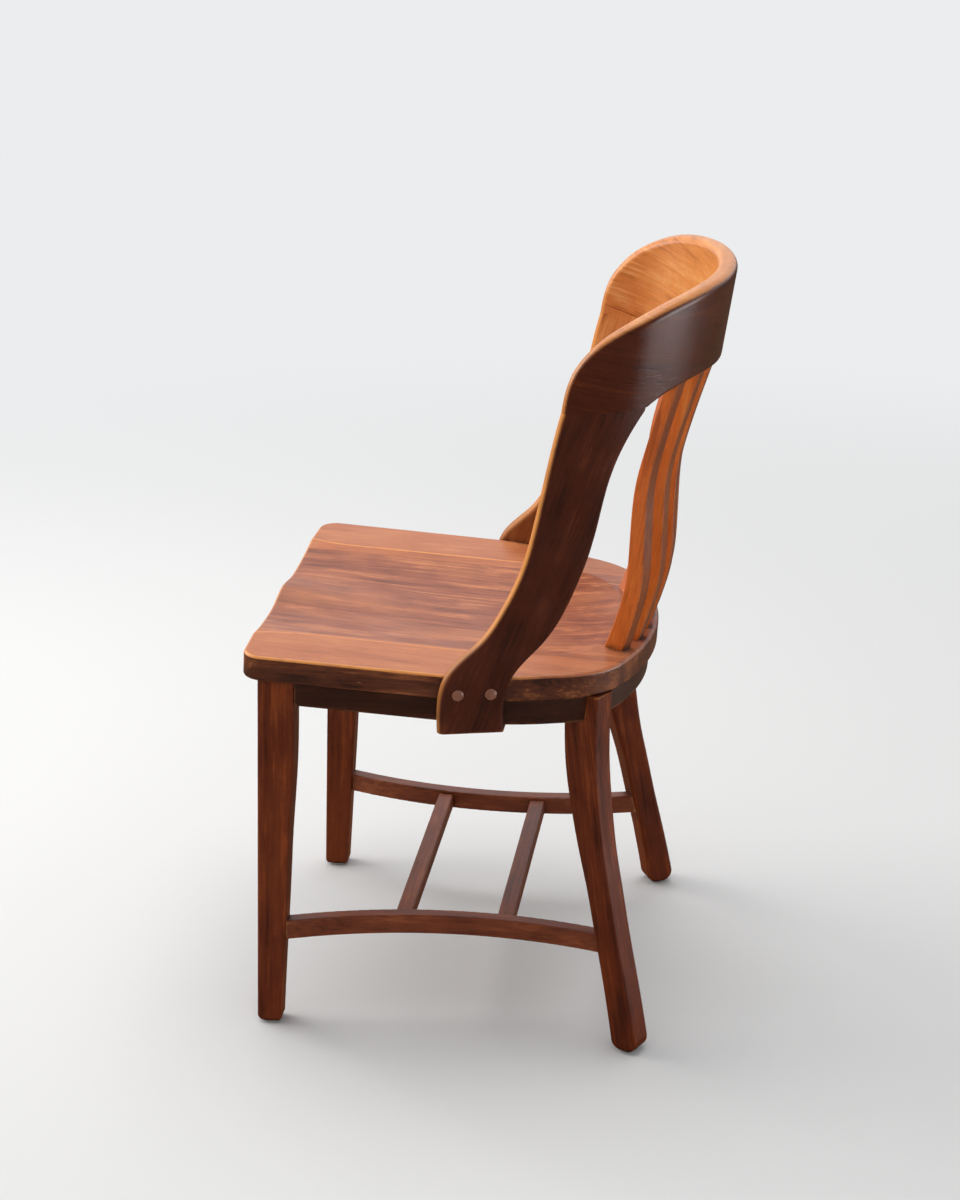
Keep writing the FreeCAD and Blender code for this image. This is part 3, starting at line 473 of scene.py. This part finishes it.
def wood(
    name,
    kind,
    lay,
    streaks=0.8,
    waviness=0.02,
    patches=0.3,
    pores=0.6,
    wear=1.0,
    grime_and_shade=0.8,
    scuffs=0.2,
    gloss=0.5,
    rough=0.36,
    tint=None,
    keep=None,
):
    """Stained and varnished wood for one part.

    lay turns the object place into the grain's. The shares say how strong each effect is, gloss
    and rough are the varnish's. tint is given the weave, both places and the colour, and returns a
    colour. keep returns where the edges may wear.
    """
    wear_settings = bpy.context.scene.chair_wear
    material, weave, shader = fresh_material(name)
    place = weave.object_place()
    grain_place = lay(weave, place)
    grain = grain_sockets(weave, grain_place, kind, streaks, waviness, patches, pores)
    colour = grain["Color"]
    if tint:
        colour = tint(weave, place, grain_place, colour)

    wear_inputs = {
        "Vector": grain_place,
        "Reach": wear_settings.edge_reach,
        "Amount": wear_settings.edge_wear * wear,
    }
    rubbed = weave.group("Edge wear", wear_inputs)["Wear"]
    if keep:
        rubbed = weave.math("MULTIPLY", rubbed, keep(weave, place))
    stain_left = weave.math("MULTIPLY", grain["Tone"], 0.5)
    worn = weave.mix(stain_left, plain_colour("worn"), colour)
    colour = weave.mix(rubbed, colour, worn)
    # Corner dirt and painted shade where parts meet
    dirt_and_shade = grime_and_shade_mask(weave, place, wear_settings.grime_and_shade_reach, grime_and_shade)
    colour = weave.mix(dirt_and_shade, colour, plain_colour("grime_and_shade"))
    marks = weave.group("Scuffs", {"Vector": grain_place, "Amount": scuffs})
    colour = weave.mix(marks["Scuff"], colour, plain_colour("scuff"))
    weave.put(shader.inputs["Base Color"], colour)

    clouds = weave.noise(place, scale=22.0, detail=3.0)
    roughness = weave.math("MULTIPLY_ADD", grain["Height"], -varnish_fill, rough)
    roughness = weave.math("MULTIPLY_ADD", rubbed, worn_roughness, roughness)
    roughness = weave.math("MULTIPLY_ADD", clouds, cloud_roughness, roughness)
    roughness = weave.math("MULTIPLY_ADD", marks["Scuff"], scuff_roughness, roughness, clamp=True)
    weave.put(shader.inputs["Roughness"], roughness)
    shader.inputs["Specular IOR Level"].default_value = gloss
    relief = weave.math("MULTIPLY_ADD", marks["Knock"], -knock_depth, grain["Height"])
    bump_inputs = {
        "Height": relief,
        "Strength": wood_bump,
        "Distance": wear_settings.grain_relief,
    }
    weave.put(shader.inputs["Normal"], weave.add("ShaderNodeBump", bump_inputs).outputs[0])
    return material


def grime_and_shade_mask(weave, place, reach, amount):
    """Where corner dirt and painted shade lie."""
    return weave.group("Corner grime and shade", {"Vector": place, "Reach": reach, "Amount": amount})["Grime"]


def dress(node_name, material):
    """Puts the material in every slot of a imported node."""
    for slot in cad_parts[node_name].material_slots:
        slot.material = material


def seat_look(weave, place, grain_place, colour):
    """A rubbed line along the rim of the dish, a pale rubbed top edge and a dark upright edge.

    The rim lies at a fixed distance from the middle that widens towards the front edge. Upright
    faces take the darker colours of the seat's edge, and the rear of the seat is a little darker
    than the front, a painted shade under the back.
    """
    parts = weave.axes(place)
    up = weave.axes(weave.normal())["Z"]
    back = parts["Y"]
    broken = weave.spots(grain_place, scale=60.0, low=0.25, high=0.6, detail=3.0, bottom=0.45)

    behind_front = weave.math("SUBTRACT", back, seat_front_y)
    near_front = weave.math("DIVIDE", behind_front, -rim_flare_length)
    near_front = weave.math("ADD", near_front, 1.0, clamp=True)
    flare = weave.product(near_front, near_front, rim_flare)
    side = weave.math("SUBTRACT", weave.math("ABSOLUTE", parts["X"]), flare)
    off_rim = weave.math("ABSOLUTE", weave.math("SUBTRACT", side, rim_distance))
    line = weave.ramp(off_rim, low=0.0024, high=0.0006)
    rim_end = weave.ramp(back, low=0.06, high=0.0)
    on_top = weave.ramp(up, low=0.4, high=0.8)
    rim = weave.product(line, rim_end, on_top, broken)
    colour = weave.mix(rim, colour, plain_colour("worn"))

    # Painted shade: the rear of the seat, under the back, is mixed towards the dark seat colour
    darker = weave.math("MULTIPLY", weave.ramp(back, low=0.12, high=0.22), rear_painted_shade)
    colour = weave.mix(darker, colour, plain_colour("seat_dark"))
    # Upright faces take the darker colours of the seat's edge
    upright = grain_sockets(
        weave, grain_place, "side", streaks=1.0, waviness=0.01, patches=0.4, pores=0.8
    )["Color"]
    colour = weave.mix(weave.ramp(up, low=0.5, high=0.2), colour, upright)

    above_side = weave.ramp(up, low=0.22, high=0.5)
    below_top = weave.ramp(up, low=0.97, high=0.86)
    slope = weave.product(above_side, below_top)
    along_side = weave.ramp(side, low=0.165, high=0.18)
    along_front = weave.ramp(back, low=-0.245, high=-0.255)
    outside = weave.math("MAXIMUM", along_side, along_front)
    edge_end = weave.ramp(back, low=0.09, high=0.02)
    top_edge = weave.product(slope, outside, edge_end, broken)
    return weave.mix(top_edge, colour, plain_colour("worn"))


def finish_seat():
    """Glued boards with the grain from front to back; the side boards are paler and plainer."""
    kinds = {1: "rim", 2: "seat", 3: "seat", 4: "seat", 5: "rim"}
    for number, kind in kinds.items():
        board = kind == "seat"
        material = wood(
            "seat board %d" % number,
            kind,
            straight_grain((0.02 * (number - 3), 1.0, -0.05), (0.13 * number, 0.31 * number, 0.05)),
            streaks=1.0 if board else 0.6,
            waviness=0.06 if board else 0.02,
            patches=0.6 if board else 0.3,
            wear=0.0,
            scuffs=0.5,
            rough=0.33,
            tint=seat_look,
        )
        dress("seat_board_%d" % number, material)


def finish_apron():
    """The apron's grain runs along each piece; its colours are the darkest of the chair."""
    for side in ("left", "right"):
        lay = straight_grain((0, 1, 0), (0.4, 0.2, 0.1))
        apron = wood("apron " + side, "apron", lay, wear=0.3, rough=0.4, gloss=0.3, scuffs=0.1)
        dress("side_apron_" + side, apron)
    for end in ("front", "rear"):
        lay = straight_grain((1, 0, 0), (0.1, 0.7, 0.3))
        apron = wood("apron " + end, "apron", lay, wear=0.35, rough=0.34)
        dress(end + "_apron", apron)


def finish_legs():
    """The grain runs down each leg; thin edges are rubbed."""
    for side, sign in (("left", -1), ("right", 1)):
        directions = {"front": (0, 0.036, 1), "rear": (-0.14 * sign, -0.145, 1)}
        for end, direction in directions.items():
            origin = (0.3 * sign, 0.5 if end == "front" else 0.2, 0.2)
            leg = wood(
                "%s leg %s" % (end, side),
                "leg",
                straight_grain(direction, origin),
                streaks=0.9,
                patches=0.4,
                wear=0.6,
                rough=0.34,
                gloss=0.25,
                scuffs=0.1,
            )
            dress("%s_leg_%s" % (end, side), leg)


def finish_stretchers():
    """The grain runs along each stretcher."""
    for side in ("left", "right"):
        lay = straight_grain((0, 1, 0), (0.2, 0.9, 0.5))
        rail = wood("stretcher " + side, "rail", lay, waviness=0.01, wear=0.55, rough=0.34)
        dress("side_stretcher_" + side, rail)
    for end, offset in (("front", 0.2), ("rear", 0.6)):
        lay = straight_grain((1, 0, 0), (offset, 0.4, 0.1))
        rail = wood("stretcher " + end, "rail", lay, waviness=0.01, wear=0.5, rough=0.38)
        dress(end + "_cross_stretcher", rail)


def inner_share(weave, place):
    """How much a face of the hoop looks towards the upright line through the middle of the seat."""
    flat = weave.scaled(place, (1.0, 1.0, 0.0))
    inward = weave.vector("NORMALIZE", weave.scaled(flat, (-1.0, -1.0, 0.0)))
    facing = weave.vector("DOT_PRODUCT", weave.normal(), inward, output="Value")
    return weave.ramp(facing, low=0.0, high=0.5)


def clear_of_joint(weave, place):
    """The glued joint between a post and the crest stays dark."""
    away = weave.math("ABSOLUTE", weave.math("SUBTRACT", weave.axes(place)["Z"], joint_height))
    return weave.ramp(away, low=0.004, high=0.012)


def crest_look(weave, place, grain_place, colour):
    """The crest is golden inside, a painted lit side, and dark outside. Its top is paler, painted
    light from above, and its front is paler, partly rubbed and partly painted light from the key
    lamp.
    """
    gold = grain_sockets(
        weave, grain_place, "crest", streaks=1.1, waviness=0.02, patches=0.35, pores=0.5
    )["Color"]
    # A paler copy of the gold: painted light on the top, rubbing and painted light at the front
    pale = weave.mix(0.45, gold, plain_colour("worn"))
    facing = weave.axes(weave.normal())
    above = weave.ramp(facing["Z"], low=0.35, high=0.8, top=0.85)
    forward = weave.ramp(facing["Y"], low=-0.3, high=-0.8, top=0.8)
    # Painted light: the inner faces take the golden colours
    colour = weave.mix(inner_share(weave, place), colour, gold)
    return weave.mix(weave.math("MAXIMUM", above, forward), colour, pale)


def post_look(weave, place, grain_place, colour):
    """A post is golden inside near its top, a painted lit side that fades towards the seat, and
    dark outside. Its rounded front edge, turned to the key lamp, is partly rubbed and partly
    painted light.
    """
    gold = grain_sockets(
        weave, grain_place, "crest", streaks=1.0, waviness=0.02, patches=0.35, pores=0.5
    )["Color"]
    height = weave.axes(place)["Z"]
    # Painted light on the inner faces, fading towards the seat
    high_up = weave.ramp(height, low=0.5, high=0.72, bottom=0.25)
    inner = weave.math("MULTIPLY", inner_share(weave, place), high_up)
    colour = weave.mix(inner, colour, gold)
    # Front edge: rubbing and painted light from the key lamp
    forward = weave.ramp(weave.axes(weave.normal())["Y"], low=-0.2, high=-0.75)
    above_seat = weave.ramp(height, low=0.46, high=0.53, bottom=0.5)
    broken = weave.spots(grain_place, scale=40.0, low=0.25, high=0.6, detail=3.0, bottom=0.7)
    return weave.mix(weave.product(forward, above_seat, broken), colour, plain_colour("worn"))


def slat_look(weave, place, grain_place, colour):
    """The rear faces of the slats, turned away from the key lamp, take the dark hoop colours as
    painted shade.
    """
    dark = grain_sockets(
        weave, grain_place, "hoop", streaks=0.8, waviness=0.02, patches=0.3, pores=0.6
    )["Color"]
    # Painted shade on faces turned to the back
    backward = weave.ramp(weave.axes(weave.normal())["Y"], low=0.3, high=0.85, top=0.6)
    return weave.mix(backward, colour, dark)


def finish_back():
    """The posts, the crest and the slats, each with its own look."""
    for side, sign in (("left", -1), ("right", 1)):
        post = wood(
            "back post " + side,
            "hoop",
            straight_grain((-0.06 * sign, 0.38, 1), (0.2 * sign, 0.3, 0.8)),
            streaks=0.7,
            patches=0.25,
            wear=0.4,
            rough=0.36,
            gloss=0.3,
            scuffs=0.05,
            tint=post_look,
            keep=clear_of_joint,
        )
        dress("back_post_" + side, post)
    crest = wood(
        "crest rail",
        "hoop",
        bent_grain,
        streaks=0.7,
        patches=0.2,
        wear=0.45,
        rough=0.24,
        gloss=0.4,
        scuffs=0.1,
        tint=crest_look,
        keep=clear_of_joint,
    )
    dress("crest_rail", crest)
    for number in range(1, 7):
        slat = wood(
            "slat %d" % number,
            "slat",
            straight_grain((0.02 * (number - 3.5), 0.18, 1), (0.2 * number, 0.1 * number, 0.3)),
            streaks=0.7,
            patches=0.35,
            wear=0.35,
            rough=0.3,
            scuffs=0.15,
            tint=slat_look,
        )
        dress("slat_%d" % number, slat)


def finish_blocks():
    """Hidden blocks and dowels of plain, dry wood."""
    for end in ("front", "rear"):
        for side, sign in (("left", -1), ("right", 1)):
            lay = straight_grain((sign, -1, 0), (0.1, 0.2, 0.9))
            block = wood("%s block %s" % (end, side), "block", lay, wear=0.2, rough=0.6, gloss=0.3)
            dress("%s_corner_block_%s" % (end, side), block)
    lay = straight_grain((0, 0.3, 1), (0.5, 0.5, 0.5))
    dress("crest_dowels", wood("dowel", "block", lay, wear=0.0, rough=0.6))


def turned(name, colour, rough, metallic):
    """Metal or nylon: fine scratches, dull clouds, brighter edges, dirt and painted shade in
    hollows.
    """
    material, weave, shader = fresh_material(name)
    place = weave.object_place()
    cloud = weave.noise(place, scale=240.0, detail=4.0, roughness=0.6)
    fine = weave.noise(weave.scaled(place, (1.0, 1.0, 0.1)), scale=2600.0)
    wear_inputs = {"Vector": place, "Reach": small_edge_reach, "Amount": 0.5}
    rubbed = weave.group("Edge wear", wear_inputs)["Wear"]
    dull = (*[channel * 0.7 for channel in colour], 1.0)
    bright = (*[min(1.0, channel * 1.3 + 0.02) for channel in colour], 1.0)
    shade = weave.mix(weave.ramp(cloud, low=0.35, high=0.65), dull, (*colour, 1.0))
    shade = weave.mix(rubbed, shade, bright)
    # Dirt and painted shade in the hollows
    dirt_and_shade = grime_and_shade_mask(weave, place, small_grime_and_shade_reach, 0.8)
    shade = weave.mix(dirt_and_shade, shade, plain_colour("grime_and_shade"))
    weave.put(shader.inputs["Base Color"], shade)
    weave.put(shader.inputs["Roughness"], weave.math("MULTIPLY_ADD", cloud, 0.2, rough))
    shader.inputs["Metallic"].default_value = metallic
    bump_inputs = {"Height": fine, "Strength": 0.4, "Distance": scratch_depth}
    weave.put(shader.inputs["Normal"], weave.add("ShaderNodeBump", bump_inputs).outputs[0])
    return material


def finish_hardware():
    """The post screws, the block screws and the glides."""
    colours = bpy.context.scene.chair_colours
    brown = turned("brown screw", tuple(colours.screw), rough=0.25, metallic=0.0)
    steel = turned("plain steel", tuple(colours.steel), rough=0.35, metallic=1.0)
    nylon = turned("white nylon", tuple(colours.nylon), rough=0.45, metallic=0.0)
    dress("post_screws", brown)
    dress("block_screws", steel)
    dress("glides", nylon)


def turned_towards(place, aim):
    """Turn of a lamp or camera at a place, so that it looks at its aim."""
    return (Vector(aim) - Vector(place)).to_track_quat("-Z", "Y").to_euler()


def softbox(name, place, aim, width, height, power, colour):
    """Flat area lamp that points from its place to its aim."""
    lamp = bpy.data.lights.new(name, "AREA")
    lamp.shape = "RECTANGLE"
    lamp.size = width
    lamp.size_y = height
    lamp.energy = power
    lamp.color = colour
    holder = bpy.data.objects.new(name, lamp)
    holder.location = place
    holder.rotation_euler = turned_towards(place, aim)
    bpy.context.collection.objects.link(holder)
    return holder


def lay_floor(studio):
    """Plain pale floor; far from the chair the camera sees it fade to the backdrop's colour.

    The varnish shows a darker, warmer floor, so that it doesn't lie as a grey veil on the wood.
    """
    mesh = bpy.data.meshes.new("floor")
    corners = [(x, y, 0) for x, y in ((-1, -1), (1, -1), (1, 1), (-1, 1))]
    mesh.from_pydata([Vector(corner) * floor_reach for corner in corners], [], [(0, 1, 2, 3)])
    floor = bpy.data.objects.new("floor", mesh)
    bpy.context.collection.objects.link(floor)
    material, weave, shader = fresh_material("pale floor")
    path = weave.add("ShaderNodeLightPath").outputs
    plain = (*studio.floor_colour, 1.0)
    shine = (*studio.floor_shine, 1.0)
    weave.put(shader.inputs["Base Color"], weave.mix(path["Is Glossy Ray"], plain, shine))
    shader.inputs["Roughness"].default_value = 0.9
    shader.inputs["Specular IOR Level"].default_value = 0.1
    distance = weave.vector("LENGTH", weave.object_place(), output="Value")
    far = weave.ramp(distance, low=0.7, high=3.0)
    glow = weave.add("ShaderNodeEmission", {"Color": (*studio.backdrop_colour, 1.0)})
    seen_far = weave.math("MULTIPLY", far, path["Is Camera Ray"])
    blend = weave.add("ShaderNodeMixShader", {"Fac": seen_far})
    weave.put(blend.inputs[1], shader.outputs[0])
    weave.put(blend.inputs[2], glow.outputs[0])
    output = next(node for node in weave.tree.nodes if node.type == "OUTPUT_MATERIAL")
    weave.put(output.inputs["Surface"], blend.outputs[0])
    mesh.materials.append(material)


def fill_air(studio):
    """Even soft light all round; gloss sees it bright on the far side, dim on the near side."""
    world = bpy.data.worlds.new("studio air")
    world.use_nodes = True
    world.node_tree.nodes.clear()
    weave = Weave(world.node_tree)
    path = weave.add("ShaderNodeLightPath").outputs

    def air(colour, strength):
        inputs = {"Color": (*colour, 1.0), "Strength": strength}
        return weave.add("ShaderNodeBackground", inputs).outputs[0]

    def choose(ray, otherwise, chosen):
        mixer = weave.add("ShaderNodeMixShader", {"Fac": path[ray]})
        weave.put(mixer.inputs[1], otherwise)
        weave.put(mixer.inputs[2], chosen)
        return mixer.outputs[0]

    direction = weave.add("ShaderNodeTexCoord").outputs["Generated"]
    brightness = weave.vector("DOT_PRODUCT", direction, bright_direction, output="Value")
    sheen = weave.ramp(brightness, low=-0.4, high=0.7, bottom=0.1, top=0.95)
    soft = air((0.97, 0.985, 1.0), studio.air_level)
    gloss = air((0.93, 0.96, 1.0), sheen)
    light = choose("Is Glossy Ray", soft, gloss)
    all_air = choose("Is Camera Ray", light, air(studio.backdrop_colour, 1.0))
    output = weave.add("ShaderNodeOutputWorld")
    weave.put(output.inputs["Surface"], all_air)
    bpy.context.scene.world = world


def place_camera(studio):
    """Camera at the photograph's viewing angle."""
    lens = bpy.data.cameras.new("camera")
    lens.lens = studio.lens
    lens.sensor_width = long_side_sensor
    lens.sensor_fit = "AUTO"
    lens.clip_start = 0.05
    lens.clip_end = 100
    camera = bpy.data.objects.new("camera", lens)
    camera.location = camera_place
    camera.rotation_euler = turned_towards(camera_place, camera_aim)
    bpy.context.collection.objects.link(camera)
    bpy.context.scene.camera = camera


def hang_lamps(studio):
    """A key lamp in front, an overhead lamp, a weak near fill and a panel for the rear sheen."""
    softbox(
        "key",
        place=(-0.6, -3.0, 2.0),
        aim=(0, 0, 0.5),
        width=2.4,
        height=2.2,
        power=studio.key_level,
        colour=(1.0, 0.985, 0.96),
    )
    softbox(
        "overhead",
        place=(-0.6, -0.2, 3.4),
        aim=(0, 0, 0.4),
        width=2.6,
        height=2.6,
        power=studio.top_level,
        colour=(0.97, 0.985, 1.0),
    )
    fill = softbox(
        "near side",
        place=(3.4, 0.9, 1.6),
        aim=(0, 0, 0.5),
        width=2.0,
        height=2.0,
        power=studio.fill_level,
        colour=(1.0, 0.98, 0.95),
    )
    fill.visible_glossy = False
    panel = softbox(
        "rear panel",
        place=(-0.1, 2.1, 0.55),
        aim=(0, 0, 0.6),
        width=1.5,
        height=1.0,
        power=studio.sheen_level,
        colour=(0.95, 0.97, 1.0),
    )
    panel.visible_diffuse = False
    panel.visible_camera = False


def build_stage(studio):
    """The floor, the air, the lamps and the camera."""
    bpy.context.scene.view_settings.view_transform = "Standard"
    lay_floor(studio)
    fill_air(studio)
    hang_lamps(studio)
    place_camera(studio)


class CHAIR_OT_shared_effects(Operator):
    """Build the node groups that the woods and metals share"""

    bl_idname = "chair.shared_effects"
    bl_label = "Grain, wear, grime and scuffs"
    bl_options = {"REGISTER", "UNDO"}

    def execute(self, context):
        build_grain_group()
        build_wear_group()
        build_grime_and_shade_group()
        build_scuff_group()
        return {"FINISHED"}


class CHAIR_OT_seat(Operator):
    """Finish the five boards of the dished seat"""

    bl_idname = "chair.seat"
    bl_label = "Seat boards"
    bl_options = {"REGISTER", "UNDO"}

    def execute(self, context):
        finish_seat()
        return {"FINISHED"}


class CHAIR_OT_apron(Operator):
    """Finish the apron under the seat"""

    bl_idname = "chair.apron"
    bl_label = "Apron"
    bl_options = {"REGISTER", "UNDO"}

    def execute(self, context):
        finish_apron()
        return {"FINISHED"}


class CHAIR_OT_legs(Operator):
    """Finish the four legs"""

    bl_idname = "chair.legs"
    bl_label = "Legs"
    bl_options = {"REGISTER", "UNDO"}

    def execute(self, context):
        finish_legs()
        return {"FINISHED"}


class CHAIR_OT_stretchers(Operator):
    """Finish the side and cross stretchers"""

    bl_idname = "chair.stretchers"
    bl_label = "Stretchers"
    bl_options = {"REGISTER", "UNDO"}

    def execute(self, context):
        finish_stretchers()
        return {"FINISHED"}


class CHAIR_OT_back(Operator):
    """Finish the posts, the crest rail and the slats"""

    bl_idname = "chair.back"
    bl_label = "Posts, crest and slats"
    bl_options = {"REGISTER", "UNDO"}

    def execute(self, context):
        finish_back()
        return {"FINISHED"}


class CHAIR_OT_blocks(Operator):
    """Finish the corner blocks and the dowels"""

    bl_idname = "chair.blocks"
    bl_label = "Corner blocks and dowels"
    bl_options = {"REGISTER", "UNDO"}

    def execute(self, context):
        finish_blocks()
        return {"FINISHED"}


class CHAIR_OT_hardware(Operator):
    """Finish the screws and the glides"""

    bl_idname = "chair.hardware"
    bl_label = "Screws and glides"
    bl_options = {"REGISTER", "UNDO"}

    def execute(self, context):
        finish_hardware()
        return {"FINISHED"}


class CHAIR_OT_stage(Operator):
    """Lay the floor, hang the lamps and set up the camera"""

    bl_idname = "chair.stage"
    bl_label = "Stage"
    bl_options = {"REGISTER", "UNDO"}

    def execute(self, context):
        build_stage(context.scene.chair_studio)
        return {"FINISHED"}


operators = (
    CHAIR_OT_shared_effects,
    CHAIR_OT_seat,
    CHAIR_OT_apron,
    CHAIR_OT_legs,
    CHAIR_OT_stretchers,
    CHAIR_OT_back,
    CHAIR_OT_blocks,
    CHAIR_OT_hardware,
    CHAIR_OT_stage,
)


class CHAIR_PT_panel(Panel):
    """Lists the chair's settings and steps"""

    bl_idname = "CHAIR_PT_panel"
    bl_label = "Chair"
    bl_space_type = "VIEW_3D"
    bl_region_type = "UI"
    bl_category = "Chair"

    def draw(self, context):
        for name in ("chair_colours", "chair_wear", "chair_studio"):
            settings = getattr(context.scene, name)
            column = self.layout.column()
            for key in settings.bl_rna.properties.keys():
                if key not in ("rna_type", "name"):
                    column.prop(settings, key)
        for operator in operators:
            self.layout.operator(operator.bl_idname)


classes = (ChairColours, ChairWear, StudioSettings, *operators, CHAIR_PT_panel)


def register():
    """Registers the classes and hangs the settings on the scene."""
    for entry in classes:
        bpy.utils.register_class(entry)
    bpy.types.Scene.chair_colours = PointerProperty(type=ChairColours)
    bpy.types.Scene.chair_wear = PointerProperty(type=ChairWear)
    bpy.types.Scene.chair_studio = PointerProperty(type=StudioSettings)


def unregister():
    """Takes the settings and the classes away again."""
    del bpy.types.Scene.chair_studio
    del bpy.types.Scene.chair_wear
    del bpy.types.Scene.chair_colours
    for entry in reversed(classes):
        bpy.utils.unregister_class(entry)


def main():
    """Runs every step in order."""
    register()
    bpy.ops.chair.shared_effects()
    bpy.ops.chair.seat()
    bpy.ops.chair.apron()
    bpy.ops.chair.legs()
    bpy.ops.chair.stretchers()
    bpy.ops.chair.back()
    bpy.ops.chair.blocks()
    bpy.ops.chair.hardware()
    bpy.ops.chair.stage()


if __name__ == "__main__":
    main()
